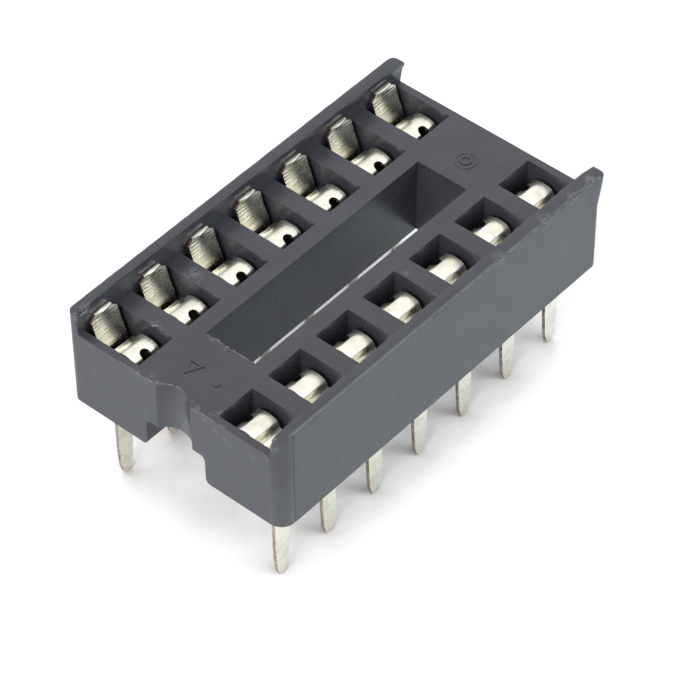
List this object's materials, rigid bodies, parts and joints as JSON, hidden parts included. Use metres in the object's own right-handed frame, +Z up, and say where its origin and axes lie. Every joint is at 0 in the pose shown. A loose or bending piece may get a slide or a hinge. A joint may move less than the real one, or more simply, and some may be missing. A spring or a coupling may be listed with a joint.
{
  "type": "ic socket",
  "caption": "Dual in-line IC socket with a dark moulded body, open contact chambers, a centre window, an index groove and stamped dual-leaf spring contacts with flat solder pins.",
  "frame": {"origin": "middle of the socket's plan, in the plane of the pin tips on which it stands", "axes": "+X along the socket, away from the end with the index groove; +Y across it, from the front row with pin one to the other row; +Z up, from the pins to the open top"},
  "size_m": [0.0176, 0.01, 0.0085],
  "materials": {
    "moulding": "dark grey thermoplastic, satin moulded skin",
    "tinned_strip": "bright tin plating on rolled spring strip"
  },
  "bodies": {
    "root": {"housing": "moulding", "contact_01": "tinned_strip", "contact_02": "tinned_strip", "contact_03": "tinned_strip", "contact_04": "tinned_strip", "contact_05": "tinned_strip", "contact_06": "tinned_strip", "contact_07": "tinned_strip", "contact_08": "tinned_strip", "contact_09": "tinned_strip", "contact_10": "tinned_strip", "contact_11": "tinned_strip", "contact_12": "tinned_strip", "contact_13": "tinned_strip", "contact_14": "tinned_strip"}
  },
  "joints": []
}
